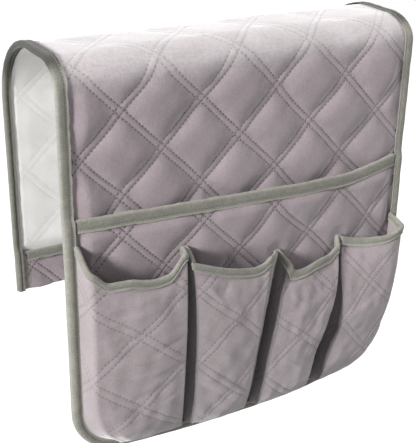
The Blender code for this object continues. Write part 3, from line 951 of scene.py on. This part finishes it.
def magazineBow(u, v):
    across = np.clip(np.abs(u) / magazine["reach"], 0, 1)
    down = np.clip((v - magazineEdge) / (frontEnd - magazine["bowFoot"] - magazineEdge), 0, 1)
    return magazine["bow"] * (1 - across ** 2) * (1 - down ** 2)


# The puffs flatten beside the dividers' seams
def sewnDown(u, v):
    near = np.ones_like(u)
    for top, bottom, drop in zip(dividers["top"], dividers["bottom"], rimDrops[1:]):
        share = np.clip((v - magazineEdge - drop) / (frontEnd - magazineEdge - drop), 0, 1)
        off = np.hypot(u - top - (bottom - top) * share, np.clip(magazineEdge + drop - v, 0, None))
        near = near * smooth(off, *magazine["sewnRun"])
    return magazine["sewnPuff"] + (1 - magazine["sewnPuff"]) * near


def magazineRise(u, v):
    a, b = quiltPlace(u, v, magazine["phaseU"], magazineEdge + magazine["quiltDrop"])
    fade = smooth(insetOf(u, v), *magazine["fade"])
    free = smooth(v - magazineTop(u), *magazine["free"])
    rise = quiltHeight(a, b, magazine["puff"], magazine["seed"]) * fade * free * sewnDown(u, v)
    rise = rise + magazine["wave"] * ripple(u, v, magazine["waveSize"], magazine["waveSeed"]) * fade
    return magazine["level"] + rise + magazineBow(u, v), np.stack([a, b, np.ones_like(u)], -1)


def magazineShape(s, t):
    u = (2 * s - 1) * cutHalf
    top = magazineTop(u)
    v = top + (hemAt(u, layers["edge"]) - top) * t
    rise, pattern = magazineRise(u, v)
    return drape(panel, u, v, rise), pattern


piece = clothPiece("magazinePocket", magazine["counts"], magazineShape, magazine["thickness"], faceCloth)
dress(piece, "front", False, ["magazine_pocket"])


def magazineTape(s, t):
    along = 2 * s * magazine["reach"]
    u = along - magazine["reach"]
    top = magazineTop(u)
    level, _ = magazineRise(u, top)
    away, offset = tapeOutline(t, *magazine["tapeFaces"], magazine["tapeWidth"])
    away = away + taping["waver"] * tapeWaver(along, magazine["tapeSeed"])
    v = top - magazine["tapeAbove"] + away
    bend = magazineBow(u, v) - magazineBow(u, top)
    return drape(panel, u, v, level + bend + offset), tapePattern(along, away, t, magazine["tapeWidth"])


piece = clothPiece("magazineTape", magazine["tapeCounts"], magazineTape, taping["thickness"], tapeCloth)
dress(piece, "front", False, ["magazine_pocket_binding"])
print("magazine pocket made")

# The four pleated pockets. The tables of a pocket's two front corners run from its rim (0) to the hem
# (1): the share of the way down, where the corner lies across the flap, and its share of the depth. A
# table of sags gives how low the rim hangs at each share of the way across.
pleated = {
    "depth": 0.0228,
    "seat": 0.0010,
    "thickness": 0.0011,
    "cutHeight": 0.19,
    "rows": 130,
    "rowsAbove": (0.72, 0.78),
    "rowsPower": 0.9,
    "cell": 0.0013,
    "turnRun": 0.0094,
    "frontLess": 0.015,
    "leftRadii": (0.0050, 0.0006, 0.0009, 0.0012),
    "rightRadii": (0.0018, 0.0022, 0.0025, 0.0060),
    "radiusShare": 0.45,
    "lean": 0.586,
    "lastLean": 0.5,
    "crown": 0.0020,
    "belly": 0.08,
    "bellyEnd": 0.85,
    "seamHalf": 0.0012,
    "endInset": 0.0080,
    "endSteps": 24,
    "hemInset": 0.0052,
    "falls": (0.044, 0.034, 0.034, 0.036),
    "bottomPower": 1.7,
    "wallPower": 1.35,
    "sagOnWall": 0.75,
    "sagPower": 1.3,
    "softSteps": (-0.05, -0.025, 0, 0.025, 0.05),
    "softFrom": 20,
    "puff": 0.0012,
    "detail": 0.6,
    "seed": 71,
    "ripples": ((0.0006, 0.045, 75), (0.0003, 0.016, 85)),
    "gathers": (0.00035, 0.010, 95),
    "gathersReach": 0.09,
    "body": (0.03, 0.10),
    "wallBody": 0.6,
    "calmEdge": 0.35,
    "calmReach": 0.16,
    "trenchShadeTurn": (0.3, 1.0),
    "trenchShadeWall": (0.5, 1.0),
    "trenchShadeDeep": 0.35,
    "sags": (
        ((0, 0.0180), (0.06, 0.0211), (0.13, 0.0247), (0.25, 0.0215), (0.37, 0.0195), (0.62, 0.0192),
         (0.75, 0.0165), (0.86, 0.0117), (0.94, 0.0011), (1, -0.0080)),
        ((0, 0.0049), (0.17, 0.0068), (0.44, 0.0075), (0.71, 0.0059), (0.89, 0.0019), (0.97, -0.0034),
         (1, -0.0080)),
        ((0, 0.0150), (0.10, 0.0168), (0.27, 0.0155), (0.50, 0.0129), (0.83, 0.0117), (1, 0.0060)),
        ((0, 0.0015), (0.12, 0.0045), (0.35, 0.0080), (0.60, 0.0083), (0.80, 0.0075), (1, 0.0055)),
    ),
    "crossings": ((-0.116, 0.0965), (-0.026, 0.103), (0.0405, 0.138), (0.0875, 0.141)),
    "squeeze": (0.80, 0.95, 0.95, 1.1),
    "leftCorners": (
        ((0, -0.1555, 0.9), (0.08, -0.1555, 1), (0.70, -0.1555, 1), (0.84, -0.1490, 1), (1, -0.1225, 1)),
        ((0, -0.0690, 0.9), (0.10, -0.0665, 1), (0.25, -0.0648, 1), (0.50, -0.0632, 1), (0.80, -0.0628, 1),
         (1, -0.0660, 1)),
        ((0, 0.0330, 0.62), (0.05, 0.0255, 0.82), (0.10, 0.0205, 0.95), (0.25, 0.0167, 1), (0.50, 0.0103, 1),
         (0.75, 0.0071, 1), (1, 0.0020, 1)),
        ((0, 0.0960, 0.12), (0.10, 0.0900, 0.45), (0.25, 0.0868, 0.75), (0.38, 0.0885, 0.92),
         (0.50, 0.0890, 1), (0.75, 0.0775, 1), (1, 0.0710, 1)),
    ),
    "rightCorners": (
        ((0, -0.0735, 0.9), (0.10, -0.0733, 1), (0.50, -0.0740, 1), (1, -0.0745, 1)),
        ((0, 0.0090, 0.8), (0.10, 0.0048, 1), (0.25, 0.0008, 1), (0.50, -0.0035, 1), (0.75, -0.0066, 1),
         (1, -0.0100, 1)),
        ((0, 0.0895, 0.35), (0.10, 0.0865, 0.62), (0.18, 0.0830, 0.85), (0.30, 0.0781, 1), (0.65, 0.0630, 1),
         (1, 0.0560, 1)),
        ((0, 0.1560, 1), (0.25, 0.1532, 1), (0.50, 0.1490, 1), (0.64, 0.1448, 1), (0.82, 0.1360, 1),
         (1, 0.1190, 1)),
    ),
}
pocketNodes = [f"pleated_pocket_{number}" for number in range(1, 5)]

# Soft creases in the pockets' fronts: both ends as (across, down from the magazine pocket's edge), the
# half width and the height
creases = (
    (-0.0999, 0.1125, -0.0760, 0.1070, 0.0016, -0.0007),
    (-0.1255, 0.1240, -0.1020, 0.1250, 0.0018, -0.0007),
    (-0.1275, 0.1330, -0.0910, 0.1342, 0.0020, 0.0009),
    (-0.0955, 0.1655, -0.0815, 0.1605, 0.0016, -0.0007),
    (-0.1549, 0.0570, -0.1370, 0.0510, 0.0018, -0.0006),
    (-0.0560, 0.0640, -0.0380, 0.0900, 0.0024, 0.0008),
    (-0.0340, 0.0600, -0.0420, 0.0780, 0.0022, -0.0007),
    (-0.0500, 0.1500, -0.0160, 0.1830, 0.0026, 0.0007),
    (0.0240, 0.0900, 0.0420, 0.1080, 0.0022, 0.0007),
    (0.0480, 0.0860, 0.0600, 0.1040, 0.0020, -0.0006),
    (0.0200, 0.1560, 0.0460, 0.1760, 0.0024, 0.0008),
    (0.1050, 0.0750, 0.1220, 0.1000, 0.0022, 0.0007),
    (0.1020, 0.1300, 0.1300, 0.1180, 0.0022, -0.0006),
)
creaseEnds = (-0.15, 0.35)


def creaseHeight(u, down):
    total = 0.0
    for startU, startDown, endU, endDown, half, height in creases:
        wayU, wayDown = endU - startU, endDown - startDown
        length = math.hypot(wayU, wayDown)
        share = ((u - startU) * wayU + (down - startDown) * wayDown) / length ** 2
        off = ((u - startU) * wayDown - (down - startDown) * wayU) / length
        ends = smooth(share, *creaseEnds) * smooth(1 - share, *creaseEnds)
        total = total + height * np.exp(-(off / half) ** 2) * ends
    return total


# The two ends' seams run beside the panel's edge and round its corner
def endSeamPath(drop):
    radius = hanging["cornerRadius"] - pleated["endInset"]
    angles = np.linspace(0, math.pi / 2 - hanging["hemSlope"], pleated["endSteps"])
    u = np.concatenate([[-cornerU - radius], -cornerU - radius * np.cos(angles)])
    v = np.concatenate([[magazineEdge + drop], cornerV + radius * np.sin(angles)])
    run = np.concatenate([[0], np.cumsum(np.hypot(np.diff(u), np.diff(v)))])
    return run / run[-1], u, v


endSeams = {0: endSeamPath(rimDrops[0]), 4: endSeamPath(rimDrops[4])}


# The place of a side seam at a share of the way from its rim to the hem
def seamPlace(number, share):
    if number in endSeams:
        run, u, v = endSeams[number]
        return np.interp(share, run, u) * (1 if number == 0 else -1), np.interp(share, run, v)
    top, bottom = dividers["top"][number - 1], dividers["bottom"][number - 1]
    rimV = magazineEdge + rimDrops[number]
    bottomV = hemAt(np.array(bottom), pleated["hemInset"])
    return top + (bottom - top) * share, rimV + (bottomV - rimV) * share


def seamsApart(index):
    return float(seamPlace(index + 1, 0)[0] - seamPlace(index, 0)[0])


# A column of a table at a share of the way down, with the table's bends softened
def softly(table, column, share):
    places = [row[0] for row in table]
    values = [row[column] for row in table]
    steps = pleated["softSteps"]
    near = np.minimum(1, pleated["softFrom"] * share)
    return sum(np.interp(share + step * near, places, values) for step in steps) / len(steps)


# Columns of a pocket, from its left seam round the front to its right seam. Each is the share of
# the wall, the turn of the corner, the share of the front, and the side that it is on.
def pocketColumns(index):
    runs = (pleated["depth"], pleated["turnRun"], seamsApart(index) - pleated["frontLess"])
    counts = [int(run / pleated["cell"]) for run in runs]
    wall = [(share, 0, 0) for share in np.linspace(0, 1, counts[0], endpoint=False)]
    turn = [(1, share, 0) for share in np.linspace(0, 1, counts[1], endpoint=False)]
    left = [(*column, 0) for column in wall + turn]
    front = [(1, 1, share, 0 if share < 0.5 else 1) for share in np.linspace(0, 1, counts[2])]
    right = [(a, b, 1, 1) for a, b, c, side in reversed(left)]
    return np.array(left + front + right)


# Where the cloth of a pocket lies: columns give the place across, share the way down its seams
def pocketSurface(index, columns, share):
    wall, turn, across, side = (columns[..., i] for i in range(4))
    left, right = pleated["leftCorners"][index], pleated["rightCorners"][index]
    uA, vA = seamPlace(index, share)
    uB, vB = seamPlace(index + 1, share)
    cornerA, cornerB = softly(left, 1, share), softly(right, 1, share)
    blend = across * across * (3 - 2 * across)
    depthShare = softly(left, 2, share) * (1 - blend) + softly(right, 2, share) * blend
    hem = hemAt(left[-1][1] * (1 - across) + right[-1][1] * across, pleated["hemInset"])
    rimA, rimB = magazineEdge + rimDrops[index], magazineEdge + rimDrops[index + 1]
    height = hem - (rimA * (1 - across) + rimB * across)
    fallen = np.clip((1 - share) * height / pleated["falls"][index], 0, 1)
    power = pleated["bottomPower"]
    full = np.clip(1 - (1 - fallen) ** power, 0, 1) ** (1 / power)
    belly = 1 + pleated["belly"] * np.sin(np.clip(share / pleated["bellyEnd"], 0, 1) * math.pi) ** 2
    deep = pleated["depth"] * depthShare * full * belly
    lean = pleated["lean"] * pleated["depth"] * (1 - full)
    if index > 0:
        cornerA = cornerA + lean
    if index < 3:
        cornerB = np.minimum(cornerB + lean, uB - pleated["seamHalf"])
    else:
        cornerB = np.minimum(cornerB + pleated["lastLean"] * lean, uB)
    radius = pleated["leftRadii"][index] * (1 - blend) + pleated["rightRadii"][index] * blend
    radius = np.minimum(radius, pleated["radiusShare"] * deep)
    angle = turn * math.pi / 2
    roundIn = radius * (1 - np.cos(angle))
    frontU = (cornerA + roundIn) * (1 - across) + (cornerB - roundIn) * across
    halfA = 0.0 if index == 0 else pleated["seamHalf"]
    halfB = 0.0 if index == 3 else pleated["seamHalf"]
    seamU = np.where(side == 0, uA + halfA, uB - halfB)
    seamV = np.where(side == 0, vA, vB)
    u = seamU + (frontU - seamU) * np.where(wall < 1, wall ** pleated["wallPower"], 1)
    d = (deep - radius) * wall + radius * np.sin(angle)
    d = d + pleated["crown"] * full * 4 * across * (1 - across) * (wall == 1)
    sagShare = pleated["sagOnWall"] * wall + (1 - pleated["sagOnWall"]) * turn
    sag = softly(pleated["sags"][index], 1, across) * np.clip(sagShare, 0, 1) ** pleated["sagPower"]
    rimV = rimA * (1 - across) + rimB * across + sag
    frontV = rimV + (hem - rimV) * share
    v = seamV + sag * (1 - share) + (frontV - seamV - sag * (1 - share)) * wall
    base = magazine["level"] + pleated["seat"] + magazineBow(u, v)
    wallOut = np.clip(deep - d, 0, None) * (across * (1 - across) == 0)
    pattern = u + np.where(side == 0, -1, 1) * wallOut
    return u, v, base + d, pattern, full


# Rows stand closer together where the pocket's bottom turns in
def bottomRows(share):
    start, low = pleated["rowsAbove"]
    turned = np.clip((share - start) / (1 - start), 0, 1)
    below = low + (1 - low) * np.sin(turned * math.pi / 2) ** pleated["rowsPower"]
    return np.where(share < start, share / start * low, below)


# How much painted shade, a darker colour standing in for the shade between pockets, a pocket gets where its
# walls face the next pocket, most at the front corners
def pocketTrenchShade(index, recipe):
    wall, turn, _, side = recipe.T
    betweenPockets = (index > 0) * (1 - side) + (index < 3) * side
    deep = pleated["trenchShadeDeep"]
    outer = deep + (1 - deep) * smooth(wall, *pleated["trenchShadeWall"])
    return (1 - smooth(turn, *pleated["trenchShadeTurn"])) * outer * betweenPockets


def pocketShape(index):
    columns = pocketColumns(index)
    along = np.linspace(0, 1, len(columns))
    centreU, belowEdge = pleated["crossings"][index]

    def shape(s, t):
        recipe = np.stack([np.interp(s, along, columns[:, i]) for i in range(4)], -1)
        share = bottomRows(t)
        u, v, h, pattern, full = pocketSurface(index, recipe, share)
        down = v - magazineEdge
        a, b = quiltPlace((pattern - centreU) * pleated["squeeze"][index], down - belowEdge, 0, 0)
        body = smooth(share, *pleated["body"]) * np.sqrt(full)
        inward = np.minimum(recipe[:, 2], 1 - recipe[:, 2])
        calm = pleated["calmEdge"] + (1 - pleated["calmEdge"]) * smooth(inward, 0.0, pleated["calmReach"])
        rise = quiltHeight(a, b, pleated["puff"], pleated["seed"] + index, pleated["detail"])
        for height, size, seed in pleated["ripples"]:
            rise = rise + height * ripple(pattern, v, size, seed + index)
        rise = rise + creaseHeight(u, down)
        rise = rise * body * smooth(recipe[:, 0], 0.0, pleated["wallBody"]) * calm
        height, size, seed = pleated["gathers"]
        gathers = ripple(pattern, 0 * v, size, seed + index) * np.exp(-share / pleated["gathersReach"])
        rise = rise + height * gathers * body
        return drape(panel, u, v, h + rise), np.stack([a, b, 1 + pocketTrenchShade(index, recipe)], -1)

    return shape, len(columns) - 1


for index, node in enumerate(pocketNodes):
    shape, columns = pocketShape(index)
    counts = (columns, pleated["rows"])
    piece = clothPiece("pleatedPocket" + str(index + 1), counts, shape, pleated["thickness"], pocketCloth)
    dress(piece, "front", False, [node])
print("pleated pockets made")

# One tape runs along the rims of all four pockets and over the dividers between them
rim = {
    "width": 0.0066,
    "faces": (-0.0017, 0.0008),
    "above": 0.0009,
    "seed": 91,
    "counts": (420, 20),
    "depthShare": 0.12,
    "depthSteps": 25,
}


# The pockets' surfaces near their rims: a line of points for each column, from the rim down
def rimGrid():
    lines = []
    for index in range(len(pocketNodes)):
        columns = pocketColumns(index)
        downs = np.linspace(0, rim["depthShare"], rim["depthSteps"])
        grid = [pocketSurface(index, columns, np.full(len(columns), share)) for share in downs]
        lines.append(np.stack([drape(panel, u, v, h) for u, v, h, _, _ in grid], axis=1))
    return np.concatenate(lines)


rimLines = rimGrid()
rimRun = np.concatenate([[0], np.cumsum(np.linalg.norm(np.diff(rimLines[:, 0], axis=0), axis=1))])
alongWay = np.gradient(rimLines, rimRun, axis=0)
downWay = rimLines[:, -1] - rimLines[:, 0]
outWay = np.cross(downWay[:, None, :], alongWay)
outWay /= np.linalg.norm(outWay, axis=2)[:, :, None]
rimDepths = rimLines[:, :1, 2] - rimLines[:, :, 2]


def rimTape(s, t):
    along = s * rimRun[-1]
    away, offset = tapeOutline(t, *rim["faces"], rim["width"])
    away = away + taping["waver"] * tapeWaver(along, rim["seed"])
    columnAt = np.interp(along, rimRun, np.arange(len(rimRun)))
    low = np.clip(columnAt.astype(int), 0, len(rimRun) - 2)
    part = (columnAt - low)[:, None]
    down = np.clip(away - rim["above"], 0, None)
    rows = np.arange(rimDepths.shape[1])
    rowAt = np.array([np.interp(depth, rimDepths[i], rows) for depth, i in zip(down, low)])
    row = np.clip(rowAt.astype(int), 0, len(rows) - 2)
    step = (rowAt - row)[:, None]

    def sample(table):
        upper = table[low, row] * (1 - part) + table[low + 1, row] * part
        lower = table[low, row + 1] * (1 - part) + table[low + 1, row + 1] * part
        return upper * (1 - step) + lower * step

    place = sample(rimLines) + sample(outWay) * offset[:, None]
    place[:, 2] += np.clip(rim["above"] - away, 0, None)
    return place, tapePattern(along, away, t, rim["width"])


piece = clothPiece("pocketRimTape", rim["counts"], rimTape, taping["thickness"], tapeCloth)
dress(piece, "front", False, [node + "_binding" for node in pocketNodes])
print("rim tape made")

# The floor, the light and the camera. A lamp has its name, place, target, size and power.
studio = {
    "floorZ": -0.62,
    "floorSize": 14.0,
    "floorGrey": 0.38,
    "floorWhite": 0.72,
    "floorRoughness": 0.9,
    "world": 0.19,
    "lamps": (
        ("lampTop", (0.10, 1.30, 4.18), (0.0, 0.0, 0.0), 1.2, 92.0),
        ("lampLeft", (-4.65, -1.24, 1.55), (0.0, 0.0, -0.12), 1.2, 345.0),
        ("lampRight", (1.24, -0.66, 1.42), (0.0, 0.0, -0.02), 0.6, 17.5),
    ),
    "eye": (-0.40270, -0.66713, 0.18724),
    "cameraRight": (0.86670, -0.49853, 0.01744),
    "cameraUp": (0.19534, 0.37136, 0.90771),
    "cameraBack": (-0.45899, -0.78330, 0.41924),
    "sensor": 36,
    "lens": 78.09,
}


# How far a ray is one that the camera sees, straight or in a gloss or through glass
def seenByCamera(tree):
    path = addNode(tree, "LightPath")
    seen = calc(tree, "MAXIMUM", path.outputs["Is Camera Ray"], path.outputs["Is Glossy Ray"])
    return calc(tree, "MAXIMUM", seen, path.outputs["Is Transmission Ray"])


def makeWorld():
    world = bpy.data.worlds.new("studio")
    world.use_nodes = True
    tree = world.node_tree
    background = tree.nodes["Background"]
    background.inputs["Color"].default_value = (1, 1, 1, 1)
    strength = ranged(tree, seenByCamera(tree), 0.0, 1.0, studio["world"], 1.0)
    tree.links.new(strength, background.inputs["Strength"])
    bpy.context.scene.world = world


def makeFloor():
    bm = bmesh.new()
    bmesh.ops.create_grid(bm, x_segments=1, y_segments=1, size=studio["floorSize"] / 2)
    bmesh.ops.translate(bm, verts=bm.verts[:], vec=(0, 0, studio["floorZ"]))
    mesh = bpy.data.meshes.new("floor")
    bm.to_mesh(mesh)
    bm.free()
    floor = bpy.data.objects.new("floor", mesh)
    bpy.context.collection.objects.link(floor)
    material = bpy.data.materials.new("floorPaper")
    material.use_nodes = True
    tree = material.node_tree
    shader = tree.nodes["Principled BSDF"]
    shader.inputs["Base Color"].default_value = (studio["floorGrey"],) * 3 + (1,)
    shader.inputs["Roughness"].default_value = studio["floorRoughness"]
    shader.inputs["Emission Color"].default_value = (1, 1, 1, 1)
    white = product(tree, seenByCamera(tree), studio["floorWhite"])
    tree.links.new(white, shader.inputs["Emission Strength"])
    mesh.materials.append(material)


def makeLamp(name, place, target, size, power):
    light = bpy.data.lights.new(name, "AREA")
    light.shape = "DISK"
    light.size = size
    light.energy = power
    lamp = bpy.data.objects.new(name, light)
    lamp.location = place
    lamp.rotation_mode = "QUATERNION"
    lamp.rotation_quaternion = (Vector(target) - Vector(place)).to_track_quat("-Z", "Y")
    bpy.context.collection.objects.link(lamp)


def makeCamera():
    data = bpy.data.cameras.new("camera")
    data.sensor_fit = "AUTO"
    data.sensor_width = studio["sensor"]
    data.lens = studio["lens"]
    camera = bpy.data.objects.new("camera", data)
    axes = Matrix([Vector(studio[way]) for way in ("cameraRight", "cameraUp", "cameraBack")])
    camera.matrix_world = Matrix.Translation(studio["eye"]) @ axes.transposed().to_4x4()
    bpy.context.collection.objects.link(camera)
    bpy.context.scene.camera = camera


makeWorld()
makeFloor()
for lamp in studio["lamps"]:
    makeLamp(*lamp)
makeCamera()
bpy.context.scene.view_settings.view_transform = "Standard"

bpy.context.view_layer.update()
